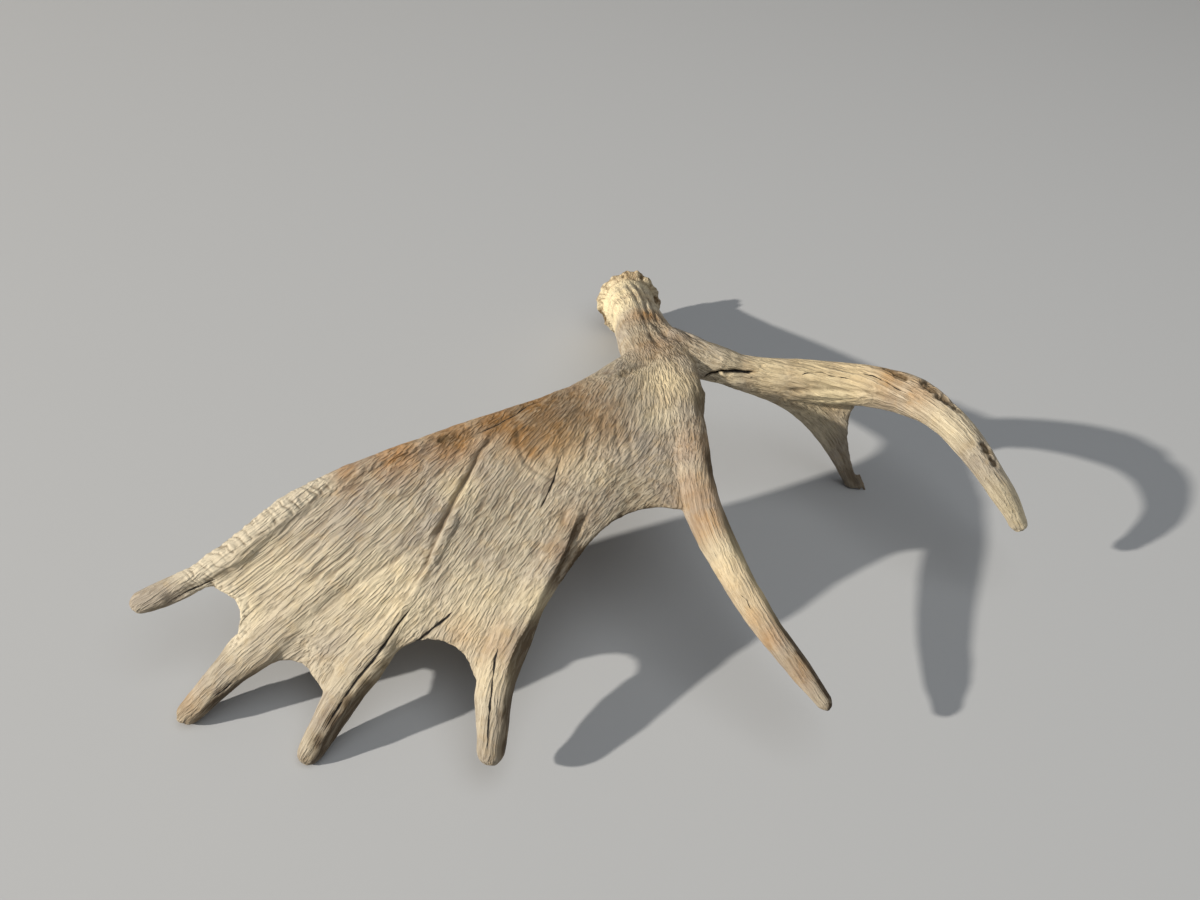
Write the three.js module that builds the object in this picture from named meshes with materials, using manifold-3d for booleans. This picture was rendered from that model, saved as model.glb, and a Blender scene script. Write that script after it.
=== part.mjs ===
// A shed moose antler, weathered and gnawed, lying on its points. Millimetres, +Z up.
// The palm is a bowed plate, the points and the beams are tapering limbs that grow out of it,
// and the whole is one fused solid that is parted at its main forks.
import * as THREE from 'three';
import { mergeVertices } from 'three/addons/utils/BufferGeometryUtils.js';
import Module from 'manifold-3d';

const wasm = await Module();
wasm.setup();

// ---- driving dimensions ----
const BURR_RADIUS = 43;
const BURR_PEARL = 1.8;        // how far the pearls of the rim stand out
const BURR_PEARLS = 15;
const BURR_LOBES = 4;          // broad lobes under the pearls, with their share of a pearl's height
const LOBE_SHARE = 0.6;
const BURR_WAVE = 1.5;         // how far the rim wanders along the beam, and how often
const BURR_WAVES = 6;
const BURR_SIDES = 45;
const SEAL_DOME = 9;           // bulge of the shed face behind the rim
const BEAM_RADIUS = 30;
const WEB_HALF = 4.8;          // half thickness of the palm away from its ribs
const NECK_HALF = 11;          // half thickness of the palm where the beam enters it
const NECK_SHARE = 0.22;       // share of the palm's length over which the neck thins out
const BROW_WEB_HALF = 7;
const FORK_GAP = 0.3;          // clearance between neighbouring pieces
const WORN_FLAT = 1.6;         // depth of the flats worn on what touches the ground
const GROUND_REACH = 2000;
const GROUND_DEPTH = 50;
const MERGE = 1e-3;            // corners closer than this are one corner
const WELD = 0.02;             // the same, after pieces have been joined and cut

// How the grown shape lies: turned about X, then Y, and lowered until its three feet are worn flat.
const LIE_ROLL = THREE.MathUtils.degToRad(-1.096);
const LIE_PITCH = THREE.MathUtils.degToRad(-0.979);
const FOOT_DEPTH = 12.35;      // how far below the grown frame's floor the turned feet reach
const LIE = new THREE.Matrix4().makeTranslation(0, 0, FOOT_DEPTH - WORN_FLAT)
  .multiply(new THREE.Matrix4().makeRotationY(LIE_PITCH))
  .multiply(new THREE.Matrix4().makeRotationX(LIE_ROLL));
const UNTURNED = new THREE.Matrix4();

// ---- places, in the frame the antler grew in; sizes are [share of length, half width, half thickness] ----
const BURR = [39, 1020, 46];
const BURR_AXIS = [-0.08, 0.88, -0.46];
const BURR_PROFILE = [[0, -24], [27, -22], [34, -13], [BURR_RADIUS, -7], [BURR_RADIUS, -1], [35, 3], [27, 6],
  [14, SEAL_DOME - 1], [0, SEAL_DOME]];
const PALM_NORMAL = [-0.05, -0.5, 0.86];

const RIDGE = [[38, 762, 172], [-18, 690, 190], [-64, 658, 192], [-151, 617, 188], [-223, 587, 177],
  [-295, 556, 156], [-368, 517, 122]];
const MIDDLE = [[76, 726, 178], [10, 615, 180], [-72, 562, 165], [-160, 535, 148], [-238, 516, 133],
  [-308, 503, 114], [-363, 507, 115]];
const FRONT = [[108, 694, 168], [100, 630, 170], [88, 552, 150], [62, 551, 154], [34, 549, 152],
  [2, 530, 146], [-30, 496, 126], [-58, 460, 100], [-84, 424, 76], [-108, 420, 71], [-122, 440, 84],
  [-150, 451, 89], [-180, 446, 81], [-208, 424, 58], [-240, 412, 42], [-256, 428, 50], [-272, 444, 60],
  [-296, 446, 61], [-315, 441, 52], [-340, 443, 50], [-334, 462, 72], [-330, 480, 91], [-340, 490, 100],
  [-358, 496, 106]];

const POINTS = {
  upper: {
    path: [[-64, 650, 189], [-151, 609, 184], [-223, 579, 173], [-288, 549, 154], [-340, 515, 124],
      [-395, 496, 101], [-434, 487, 89]],
    sizes: [[0, 8, 6], [0.3, 9, 8], [0.6, 14, 8.5], [0.75, 15, 10], [0.9, 13, 11], [1, 11, 10]],
    tip: 12,
  },
  second: {
    path: [[-183, 533, 146], [-237, 498, 117], [-284, 474, 89], [-322, 455, 65], [-348, 440, 44],
      [-369, 427, 26], [-390, 416, 8]],
    sizes: [[0, 5, 4], [0.25, 9, 7], [0.62, 22, 9.5], [0.78, 15.5, 12], [0.9, 12, 11.5], [1, 11, 10.5]],
    tip: 9,
  },
  third: {
    path: [[-112, 580, 171], [-128, 548, 157], [-147, 514, 136], [-174, 481, 108], [-206, 447, 77],
      [-233, 417, 48], [-251, 396, 24], [-269, 377, 3]],
    sizes: [[0, 5, 4], [0.15, 7, 7.5], [0.4, 11, 8], [0.65, 21, 10], [0.78, 17, 13], [0.9, 13.5, 12],
      [1, 11, 10]],
    tip: 11,
  },
  fourth: {
    path: [[-8, 572, 166], [-28, 536, 150], [-47, 506, 133], [-67, 474, 111], [-84, 441, 88],
      [-93, 412, 68], [-94, 384, 49], [-96, 360, 32]],
    sizes: [[0, 6, 4], [0.15, 8, 8], [0.4, 16, 9], [0.6, 20, 11], [0.75, 17, 14], [0.88, 14, 13],
      [1, 12, 11]],
    tip: 10,
  },
  long: {
    path: [[82, 712, 168], [84, 660, 170], [86, 610, 167], [90, 569, 157], [103, 534, 141], [123, 498, 121],
      [146, 463, 101], [177, 427, 79], [202, 398, 60]],
    sizes: [[0, 20, 8], [0.3, 20, 13], [0.52, 17.5, 14], [0.66, 13.5, 12.5], [0.83, 11, 10.5], [1, 7.5, 7]],
    tip: 9,
  },
};

const BEAM = {
  path: [[39, 1012, 50], [42, 940, 90], [46, 860, 130], [52, 795, 157], [63, 735, 172], [62, 670, 175],
    [46, 600, 171]],
  sizes: [[0, 36, 36], [0.15, BEAM_RADIUS, BEAM_RADIUS], [0.45, 30, 29], [0.62, 35, 22],
    [0.8, 40, 11], [1, 30, 2]],
  tip: 20,
};
const BROW = {
  path: [[48, 806, 154], [80, 764, 166], [118, 744, 168], [150, 739, 161], [229, 737, 147], [281, 730, 148],
    [321, 711, 152], [340, 687, 156], [359, 660, 152], [378, 633, 139], [397, 615, 119], [415, 604, 96],
    [432, 596, 69]],
  sizes: [[0, 24, 22], [0.1, 26, 24], [0.18, 21, 19], [0.26, 17, 15], [0.41, 23, 18], [0.61, 22, 17],
    [0.74, 16, 15], [0.88, 12.5, 12], [1, 8.5, 8]],
  tip: 8,
};
const BROW_NORMAL = [0.1, -0.75, 0.65];
const PRONG_NORMAL = [0.25, -0.95, 0.2];
const PRONG_LEFT = [[118, 716, 166], [160, 724, 142], [205, 731, 112], [240, 731, 75], [272, 726, 30],
  [290, 723, -2]];
const PRONG_MIDDLE = [[205, 736, 150], [224, 737, 126], [246, 737, 94], [262, 735, 62], [284, 730, 26],
  [298, 724, -2]];
const PRONG_RIGHT = [[290, 733, 140], [276, 731, 108], [279, 728, 70], [293, 724, 25], [306, 720, -2]];

// ---- shape helpers ----
const CROWDING = 0.8;          // 0 spaces a limb's rings evenly, 1 crowds them like a sine
const TIP_FLAT = 0.12;         // smallest share of a tip's and a rim's roundness, squared
const RIM_FLAT = 0.1;
const RIM_POWER = 6;           // how late a plate's rim begins to round over
const Y_AXIS = new THREE.Vector3(0, 1, 0);
const vec = (p) => new THREE.Vector3(...p);
const spline = (list) => new THREE.CatmullRomCurve3(list.map(vec), false, 'centripetal');
const blend = THREE.MathUtils.smoothstep;

// A closed geometry as a solid, moved from the frame it grew in to how it lies.
function solidOf(geometry, frame = LIE) {
  const bare = geometry.clone().applyMatrix4(frame);
  bare.deleteAttribute('normal');
  bare.deleteAttribute('uv');
  const merged = mergeVertices(bare, MERGE);
  const mesh = new wasm.Mesh({
    numProp: 3,
    vertProperties: new Float32Array(merged.attributes.position.array),
    triVerts: new Uint32Array(merged.index.array),
  });
  return new wasm.Manifold(mesh);
}

// The solid's triangles, with corners closer than WELD merged and the slivers between them dropped.
function geometryOf(solid) {
  const { vertProperties, triVerts } = solid.getMesh();
  let geometry = new THREE.BufferGeometry();
  geometry.setAttribute('position', new THREE.BufferAttribute(vertProperties, 3));
  geometry.setIndex(new THREE.BufferAttribute(triVerts, 1));
  geometry = mergeVertices(geometry, WELD);
  const corners = geometry.index.array;
  const kept = [];
  for (let i = 0; i < corners.length; i += 3) {
    const [a, b, c] = corners.subarray(i, i + 3);
    if (a !== b && b !== c && c !== a) kept.push(a, b, c);
  }
  geometry.setIndex(kept);
  geometry.computeVertexNormals();
  return geometry;
}

// Reads half width and half thickness off a list of [place along, width, thickness].
function sizeAt(sizes, along) {
  let k = 1;
  while (k < sizes.length - 1 && along > sizes[k][0]) k += 1;
  const [from, to] = [sizes[k - 1], sizes[k]];
  const share = blend(along, from[0], to[0]);
  return [THREE.MathUtils.lerp(from[1], to[1], share), THREE.MathUtils.lerp(from[2], to[2], share)];
}

// A tapering limb of oval section along a curve. Its rings crowd towards its blunt, rounded tip.
function limb({ path, sizes, tip }, normal = PALM_NORMAL, sides = 14, rings = 16) {
  const curve = spline(path);
  const length = curve.getLength();
  const up = vec(normal);
  const geometry = new THREE.CylinderGeometry(1, 1, 1, sides, rings);
  const spot = geometry.attributes.position;
  for (let i = 0; i < spot.count; i += 1) {
    const step = spot.getY(i) + 0.5;
    const along = THREE.MathUtils.lerp(step, Math.sin(step * Math.PI / 2), CROWDING);
    const centre = curve.getPointAt(along);
    const ahead = curve.getTangentAt(along);
    const side = ahead.clone().cross(up).normalize();
    const out = side.clone().cross(ahead);
    const [wide, thick] = sizeAt(sizes, along);
    const past = Math.max(0, 1 - (1 - along) * length / tip);
    const round = Math.sqrt(Math.max(TIP_FLAT, 1 - past * past));
    centre.addScaledVector(side, spot.getX(i) * wide * round);
    centre.addScaledVector(out, spot.getZ(i) * thick * round);
    spot.setXYZ(i, centre.x, centre.y, centre.z);
  }
  return solidOf(geometry);
}

// A plate through three curves, thin at its rim; half(s) is its half thickness.
function plate(edgeA, middle, edgeB, half, cells, normal) {
  const [a, m, b] = [spline(edgeA), spline(middle), spline(edgeB)];
  const out = vec(normal).normalize();
  const geometry = new THREE.BoxGeometry(1, 1, 1, cells[0], cells[1], 2);
  const spot = geometry.attributes.position;
  for (let i = 0; i < spot.count; i += 1) {
    const s = spot.getX(i) + 0.5;
    const t = 0.5 - 0.5 * Math.cos((spot.getY(i) + 0.5) * Math.PI);
    const rim = Math.sqrt(Math.max(RIM_FLAT, 1 - (2 * t - 1) ** RIM_POWER));
    const place = a.getPoint(s).multiplyScalar((1 - t) * (1 - 2 * t));
    place.addScaledVector(m.getPoint(s), 4 * t * (1 - t));
    place.addScaledVector(b.getPoint(s), t * (2 * t - 1));
    place.addScaledVector(out, 2 * spot.getZ(i) * half(s) * rim);
    spot.setXYZ(i, place.x, place.y, place.z);
  }
  return solidOf(geometry);
}

// The burr: a rim of pearls around the root of the beam, and the domed face it was shed from.
function burr() {
  const outline = BURR_PROFILE.map(([radius, height]) => new THREE.Vector2(radius, height));
  const geometry = new THREE.LatheGeometry(outline, BURR_SIDES);
  const spot = geometry.attributes.position;
  for (let i = 0; i < spot.count; i += 1) {
    const [x, y, z] = [spot.getX(i), spot.getY(i), spot.getZ(i)];
    const angle = Math.atan2(z, x);
    const rim = blend(Math.hypot(x, z), BURR_RADIUS / 2, BURR_RADIUS);
    const pearl = Math.cos(angle * BURR_PEARLS) + LOBE_SHARE * Math.cos(angle * BURR_LOBES + 1);
    const grow = 1 + rim * BURR_PEARL * pearl / BURR_RADIUS;
    spot.setXYZ(i, x * grow, y + rim * BURR_WAVE * Math.sin(angle * BURR_WAVES), z * grow);
  }
  const turn = new THREE.Quaternion().setFromUnitVectors(Y_AXIS, vec(BURR_AXIS).normalize());
  geometry.applyQuaternion(turn).translate(...BURR);
  return solidOf(geometry);
}

// A block whose near face is the cut through a fork; ahead points into the branch cut off.
function forkBlock(at, ahead, size, gap = 0) {
  const [width, length, height] = size;
  const block = new THREE.BoxGeometry(width + 2 * gap, length + 2 * gap, height + 2 * gap);
  block.translate(0, length / 2, 0);
  const turn = new THREE.Quaternion().setFromUnitVectors(Y_AXIS, vec(ahead).normalize());
  block.applyQuaternion(turn).translate(...at);
  return solidOf(block);
}

// The ground that the feet have worn against: a block with its top at height zero.
function ground() {
  const block = new THREE.BoxGeometry(GROUND_REACH, GROUND_REACH, GROUND_DEPTH);
  block.translate(BURR[0], BURR[1], -GROUND_DEPTH / 2);
  return solidOf(block, UNTURNED);
}

// ---- the grown antler, fused ----
const palmHalf = (s) => THREE.MathUtils.lerp(NECK_HALF, WEB_HALF, blend(s, 0, NECK_SHARE));
const browHalf = () => BROW_WEB_HALF;
let antler = plate(RIDGE, MIDDLE, FRONT, palmHalf, [60, 10], PALM_NORMAL);
for (const point of Object.values(POINTS)) antler = antler.add(limb(point));
antler = antler.add(limb(BEAM, PALM_NORMAL, 20, 20));
antler = antler.add(burr());
antler = antler.add(limb(BROW, BROW_NORMAL, 16, 34));
antler = antler.add(plate(PRONG_LEFT, PRONG_MIDDLE, PRONG_RIGHT, browHalf, [12, 8], PRONG_NORMAL));
antler = antler.subtract(ground());

// ---- its main forks: where each branch is parted, the way it runs, and the room around it ----
const FORKS = {
  burr_and_beam: { at: [47, 815, 150], ahead: [-0.02, 0.9, -0.43], size: [160, 300, 160] },
  long_point: { at: [103, 536, 142], ahead: [0.35, -0.85, -0.45], size: [80, 240, 90] },
  brow_tine: { at: [312, 716, 149], ahead: [0.75, -0.66, 0.02], size: [160, 260, 260] },
  brow_palm: { at: [140, 715, 150], ahead: [1, 0, 0], size: [220, 300, 420] },
};

const pieces = {};
for (const [name, { at, ahead, size }] of Object.entries(FORKS)) {
  pieces[name] = antler.intersect(forkBlock(at, ahead, size));
  antler = antler.subtract(forkBlock(at, ahead, size, FORK_GAP));
}
pieces.palm = antler;

// ---- scene ----
const BONE = {
  burr_and_beam: { color: 0xcdbb9a, roughness: 0.85, metalness: 0 },
  palm: { color: 0xb3a284, roughness: 0.8, metalness: 0 },
  long_point: { color: 0xc4ad86, roughness: 0.75, metalness: 0 },
  brow_palm: { color: 0xbba481, roughness: 0.8, metalness: 0 },
  brow_tine: { color: 0xc0b097, roughness: 0.8, metalness: 0 },
};
const group = new THREE.Group();
const box = new THREE.Box3();
for (const [name, solid] of Object.entries(pieces)) {
  const mesh = new THREE.Mesh(geometryOf(solid), new THREE.MeshStandardMaterial(BONE[name]));
  mesh.name = name;
  group.add(mesh);
  box.expandByObject(mesh);
}
const centre = box.getCenter(new THREE.Vector3());
group.position.set(-centre.x, -centre.y, 0);
export default group;
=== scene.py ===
# %% [markdown]
# # A shed moose antler, weathered outdoors
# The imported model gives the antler's true shape as five plain solids. This lesson turns them into
# one skin of old bone: the fibres that run from the burr out to every point, the drying cracks,
# the gnawed edges and the stains. We begin by loading the solids, which stay where they are.

# %% Load the frame
import math

import bmesh
import bpy
import mathutils
import numpy as np
from mathutils import Matrix, Vector
from mathutils.bvhtree import BVHTree


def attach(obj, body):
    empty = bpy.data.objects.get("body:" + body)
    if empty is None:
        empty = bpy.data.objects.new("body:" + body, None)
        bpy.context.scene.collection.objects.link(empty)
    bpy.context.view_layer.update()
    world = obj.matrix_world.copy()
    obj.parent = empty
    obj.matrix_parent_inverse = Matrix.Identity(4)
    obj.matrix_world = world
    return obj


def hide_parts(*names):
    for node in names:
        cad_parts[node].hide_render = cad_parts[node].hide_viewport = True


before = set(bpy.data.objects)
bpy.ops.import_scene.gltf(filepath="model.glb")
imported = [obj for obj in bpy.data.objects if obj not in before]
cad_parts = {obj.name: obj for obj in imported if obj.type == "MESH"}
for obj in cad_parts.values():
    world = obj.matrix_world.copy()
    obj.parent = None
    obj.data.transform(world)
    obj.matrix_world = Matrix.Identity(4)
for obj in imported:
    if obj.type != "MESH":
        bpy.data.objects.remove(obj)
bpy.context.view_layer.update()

MM = 0.001

print("solids:", sorted(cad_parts))

# %% [markdown]
# The antler grew in one frame and lies in another: it tips a little until three spots touch the
# ground. Places on it are easier to think of as it grew, in millimetres, so one matrix carries
# such a place to where it lies, in metres. The same matrix places the camera.

# %% From the frame it grew in to how it lies
ROLL = math.radians(-1.096)
PITCH = math.radians(-0.979)
SHIFT = (0.815 * MM, -700.771 * MM, 10.75 * MM)
LIE = Matrix.Translation(SHIFT) @ Matrix.Rotation(PITCH, 4, "Y") @ Matrix.Rotation(ROLL, 4, "X")


def grown(places):
    """Places as it grew, in mm, as an array of points where they lie, in metres."""
    return np.array([LIE @ (Vector(place) * MM) for place in places])


def spaced(places, step):
    """Points every step along the line through the given places."""
    line = grown(places)
    lengths = np.linalg.norm(np.diff(line, axis=0), axis=1)
    along = np.concatenate([[0], np.cumsum(lengths)])
    wanted = np.linspace(0, along[-1], max(2, round(along[-1] / step) + 1))
    return np.stack([np.interp(wanted, along, line[:, axis]) for axis in range(3)], axis=1)


print("lies at:", [round(value, 4) for value in grown([(0, 0, 0)])[0]])

# %% [markdown]
# A long thing on a floor is seen from above its near side. The camera looks down at 45 degrees
# with a 27 mm lens, close enough for the near points to look larger than the far burr.

# %% Camera
CAMERA_PLACE = (0, 0, 780 * MM)
CAMERA_TILT = math.radians(45)
LENS = 27
SENSOR = 36
VIEW_DEPTH = 20
camera = bpy.data.objects.new("camera", bpy.data.cameras.new("camera"))
camera.data.lens = LENS
camera.data.sensor_width = SENSOR
camera.data.clip_end = VIEW_DEPTH
turned = Matrix.Rotation(CAMERA_TILT, 4, "X")
camera.matrix_world = LIE @ Matrix.Translation(CAMERA_PLACE) @ turned
bpy.context.scene.collection.objects.link(camera)
bpy.context.scene.camera = camera
print("camera at", [round(value, 3) for value in camera.matrix_world.translation])

# %% [markdown]
# The stage is a plain pale floor. Low light raked across bone shows its relief, so the key light
# stands far off to the left and low. A small far light keeps the edges of its shadows fairly crisp,
# and lights the floor evenly. A broad lamp overhead and pale surroundings fill the shadows.


# %% Floor and lights
def soft_light(name, place, aim, size, power, colour):
    light = bpy.data.lights.new(name, "AREA")
    light.shape = "DISK"
    light.size = size
    light.energy = power
    light.color = colour
    lamp = bpy.data.objects.new(name, light)
    lamp.location = place
    lamp.rotation_euler = (Vector(aim) - Vector(place)).to_track_quat("-Z", "Y").to_euler()
    bpy.context.scene.collection.objects.link(lamp)
    print(name, "light at", [round(value, 2) for value in place])


FLOOR_SIZE = 12
FLOOR_GAP = 0.5 * MM
floor_mesh = bpy.data.meshes.new("floor")
bm = bmesh.new()
bmesh.ops.create_grid(bm, x_segments=1, y_segments=1, size=FLOOR_SIZE / 2)
bm.to_mesh(floor_mesh)
bm.free()
floor = bpy.data.objects.new("floor", floor_mesh)
floor.location.z = -FLOOR_GAP
bpy.context.scene.collection.objects.link(floor)

LIGHT_WAY = (0.867, 0.223, -0.446)
KEY_DISTANCE = 14
KEY_SIZE = 0.39
KEY_POWER = 2700
WARM = (1.0, 0.945, 0.86)
OVERHEAD_PLACE = (0.7, -0.5, 3.2)
OVERHEAD_SIZE = 3.0
OVERHEAD_POWER = 40
COOL = (0.95, 0.98, 1.0)
SURROUNDINGS = (0.92, 0.95, 1.0, 1)
SURROUNDINGS_STRENGTH = 0.15

middle = Vector((0, 0, 0.1))
soft_light("key", middle - Vector(LIGHT_WAY) * KEY_DISTANCE, middle, KEY_SIZE, KEY_POWER, WARM)
soft_light("overhead", OVERHEAD_PLACE, (0, 0, 0), OVERHEAD_SIZE, OVERHEAD_POWER, COOL)
world = bpy.data.worlds.new("pale surroundings")
world.use_nodes = True
background = world.node_tree.nodes["Background"]
background.inputs["Color"].default_value = SURROUNDINGS
background.inputs["Strength"].default_value = SURROUNDINGS_STRENGTH
bpy.context.scene.world = world
bpy.context.scene.view_settings.view_transform = "Standard"

# %% [markdown]
# ## One skin over the five solids
# Bone has no seams. We copy every solid, add the thin shard that still hangs from the worn prong,
# and let a voxel remesh fuse them all, which also closes the hairline gaps at the forks. Its
# stair-steps and the solids' flat facets are then smoothed away. Plain smoothing would thin the
# points, so each smoothing pass is followed by a slightly stronger one the other way.

# %% Fuse the solids
VOXEL = 1.7 * MM
MERGE = 0.02 * MM

bm = bmesh.new()
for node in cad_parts.values():
    bm.from_mesh(node.data)
bmesh.ops.remove_doubles(bm, verts=bm.verts[:], dist=MERGE)

SHARD_TOP = (300, 720, 18)
SHARD_TIP = (315, 716, -9)
SHARD_RADII = (2.6 * MM, 1.1 * MM)
shard = [Vector(point) for point in grown([SHARD_TOP, SHARD_TIP])]
way = shard[1] - shard[0]
turn = way.to_track_quat("Z", "Y").to_matrix().to_4x4()
bmesh.ops.create_cone(
    bm,
    cap_ends=True,
    segments=8,
    radius1=SHARD_RADII[0],
    radius2=SHARD_RADII[1],
    depth=way.length,
    matrix=Matrix.Translation((shard[0] + shard[1]) / 2) @ turn,
)
mesh = bpy.data.meshes.new("antler")
bm.to_mesh(mesh)
bm.free()
antler = bpy.data.objects.new("antler", mesh)
bpy.context.scene.collection.objects.link(antler)

remesh = antler.modifiers.new("fuse", "REMESH")
remesh.mode = "VOXEL"
remesh.voxel_size = VOXEL
remesh.use_smooth_shade = True
evaluated = antler.evaluated_get(bpy.context.evaluated_depsgraph_get())
mesh = bpy.data.meshes.new_from_object(evaluated)
antler.modifiers.clear()
antler.data = mesh
print("fused:", len(mesh.vertices), "corners,", len(mesh.polygons), "faces")


# %% Read the skin into arrays
def corners():
    flat = np.empty(len(mesh.vertices) * 3, dtype=np.float32)
    mesh.vertices.foreach_get("co", flat)
    return flat.reshape(-1, 3).astype(float)


def outward():
    flat = np.empty(len(mesh.vertices) * 3, dtype=np.float32)
    mesh.vertex_normals.foreach_get("vector", flat)
    return flat.reshape(-1, 3).astype(float)


def place_corners(points):
    mesh.vertices.foreach_set("co", points.astype(np.float32).ravel())
    mesh.update()


edges = np.empty(len(mesh.edges) * 2, dtype=np.int32)
mesh.edges.foreach_get("vertices", edges)
first, second = edges.reshape(-1, 2).T
ring = np.bincount(first, minlength=len(mesh.vertices))
ring += np.bincount(second, minlength=len(mesh.vertices))


def gathered(values):
    """For each corner, the sum over its edges of the value at the other end."""
    return np.bincount(first, values[second], len(ring)) + np.bincount(second, values[first], len(ring))


def neighbours(values):
    """For each corner, the mean of the values around it."""
    if values.ndim == 1:
        return gathered(values) / ring
    return np.stack([gathered(column) for column in values.T], axis=1) / ring[:, None]


print("edges to a corner:", int(ring.min()), "to", int(ring.max()))

# %% Smooth without thinning
INWARD = 0.6
OUTWARD = -0.63
PASSES = 70

skin = corners()
for _ in range(PASSES):
    skin = skin + INWARD * (neighbours(skin) - skin)
    skin = skin + OUTWARD * (neighbours(skin) - skin)
place_corners(skin)
print("skin box:", skin.min(axis=0).round(4), skin.max(axis=0).round(4))

# %% [markdown]
# ## Which way the fibres run
# While an antler grows, blood vessels run under its skin from the burr to every tip, and the bone
# keeps their print. A handful of guide lines down the beam, over the palm and out to the points
# says where they ran. Every corner takes its fibre direction from the guide lines nearby.

# %% Guide lines
GUIDES = [
    # beam, and over the crest along the palm's long edge
    [(39, 1012, 50), (36, 954, 100), (40, 880, 145), (36, 810, 172), (42, 753, 184), (50, 721, 188),
     (20, 700, 191), (-20, 680, 191), (-70, 650, 191), (-121, 625, 189), (-186, 594, 186), (-257, 562, 173),
     (-329, 528, 143), (-366, 510, 125), (-401, 490, 109), (-434, 478, 90)],
    [(-70, 645, 192), (-123, 612, 188), (-167, 579, 178), (-211, 548, 162), (-255, 519, 139),
     (-292, 498, 117), (-325, 486, 103)],
    # second, third and fourth points
    [(-96, 634, 190), (-110, 596, 184), (-136, 552, 163), (-163, 516, 141), (-209, 494, 123),
     (-262, 473, 100), (-296, 457, 84), (-327, 440, 64), (-361, 420, 37), (-388, 412, 12)],
    [(-25, 678, 192), (-67, 640, 191), (-99, 612, 187), (-117, 587, 181), (-138, 548, 161), (-156, 514, 140),
     (-172, 481, 118), (-193, 447, 90), (-226, 412, 61), (-265, 376, 8)],
    [(0, 680, 191), (-24, 619, 188), (-41, 573, 174), (-59, 534, 156), (-85, 496, 132), (-109, 463, 109),
     (-123, 447, 93)],
    [(40, 715, 189), (28, 673, 191), (9, 609, 184), (-13, 553, 165), (-31, 514, 144), (-59, 464, 115),
     (-82, 424, 91), (-89, 405, 80), (-95, 360, 40)],
    [(56, 700, 188), (63, 651, 184), (57, 615, 178), (37, 585, 174), (12, 560, 166), (-11, 527, 150)],
    [(66, 690, 187), (74, 650, 183), (70, 612, 177), (58, 580, 171), (40, 560, 165)],
    # long point
    [(60, 750, 188), (78, 715, 188), (91, 689, 184), (96, 642, 179), (88, 580, 174), (91, 543, 160),
     (121, 487, 128), (158, 439, 98), (202, 396, 58)],
    # brow branch, tine and prong
    [(46, 838, 165), (55, 801, 176), (63, 773, 183), (89, 745, 186), (125, 731, 178), (168, 731, 171),
     (222, 733, 166), (284, 722, 165), (334, 671, 163), (366, 627, 146), (415, 600, 95), (432, 594, 68)],
    [(153, 720, 160), (201, 720, 154), (266, 714, 142), (312, 692, 150), (350, 645, 150)],
    [(160, 729, 155), (212, 729, 121), (247, 729, 82), (269, 725, 47), (290, 721, 8)],
]
GUIDE_STEP = 5 * MM
guide_points, guide_ways = [], []
for guide in GUIDES:
    line = spaced(guide, GUIDE_STEP)
    guide_points.append(line)
    ways = np.gradient(line, axis=0)
    guide_ways.append(ways / np.linalg.norm(ways, axis=1)[:, None])
guide_points = np.concatenate(guide_points)
guide_ways = np.concatenate(guide_ways)
print("guide points:", len(guide_points))

# %% Fibre direction of every corner
GUIDE_REACH = 14 * MM
BATCH = 8000


def fibre_ways(points):
    """The fibre direction at each point: the ways of the guides, weighed by how near they are."""
    result = np.empty_like(points)
    for start in range(0, len(points), BATCH):
        part = points[start:start + BATCH]
        gap = ((part[:, None, :] - guide_points[None]) ** 2).sum(axis=2)
        weight = 1 / (gap + GUIDE_REACH ** 2) ** 2
        result[start:start + BATCH] = weight @ guide_ways
    return result / np.linalg.norm(result, axis=1)[:, None]


ways = fibre_ways(skin)
ways = neighbours(neighbours(ways))
ways /= np.linalg.norm(ways, axis=1)[:, None]
print("mean fibre direction:", ways.mean(axis=0).round(2))

# %% [markdown]
# ## Coordinates that follow the fibres
# A noise texture streaks along straight axes, but these fibres bend and fan. So each corner gets
# a place of its own, called grain: it changes by full steps across the fibres and hardly at all
# along them. Asking that of every edge gives a large system of equations, which the conjugate
# gradient method solves. Noise read at the grain place is then long along the fibres everywhere.

# %% Solve for the grain place of every corner
ALONG_SHARE = 0.05
ALONG_PULL = 25.0
FIRST_GUESS = 0.4
ROUNDS = 600

edge_step = skin[second] - skin[first]
edge_way = ways[first] + ways[second]
edge_way /= np.linalg.norm(edge_way, axis=1)[:, None]
lengthwise = (edge_step * edge_way).sum(axis=1)
target = edge_step - (1 - ALONG_SHARE) * lengthwise[:, None] * edge_way
share = lengthwise ** 2 / (edge_step ** 2).sum(axis=1)
pull = 1 + (ALONG_PULL - 1) * share


def net(carried):
    """What flows into each corner, less what flows out, when each edge carries from first to second."""
    return np.bincount(second, carried, len(ring)) - np.bincount(first, carried, len(ring))


def solved(goal, guess):
    """Corner values whose differences along the edges are as near the goal as they can be."""
    values = guess.copy()
    balance = np.bincount(first, pull, len(ring)) + np.bincount(second, pull, len(ring))
    rest = net(pull * goal) - net(pull * (values[second] - values[first]))
    ready = rest / balance
    search = ready.copy()
    strength = rest @ ready
    for _ in range(ROUNDS):
        pushed = net(pull * (search[second] - search[first]))
        stride = strength / (search @ pushed)
        values += stride * search
        rest -= stride * pushed
        ready = rest / balance
        renewed = rest @ ready
        search = ready + renewed / strength * search
        strength = renewed
    return values


grain = np.stack([solved(target[:, axis], skin[:, axis] * FIRST_GUESS) for axis in range(3)], axis=1)
print("grain box:", grain.min(axis=0).round(3), grain.max(axis=0).round(3))


# %% [markdown]
# ## Relief
# Shapes you could feel with a finger are moved into the mesh: folds and wrinkles along the fibres,
# ribs and grooves, gnaw marks, bites and the lumps of the burr. Two tools do most of it. The first
# is Blender's own Perlin noise, which gives the same numbers on each run. The second measures how
# far each corner is from a drawn line, so that a line can be pressed in or raised.


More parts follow.
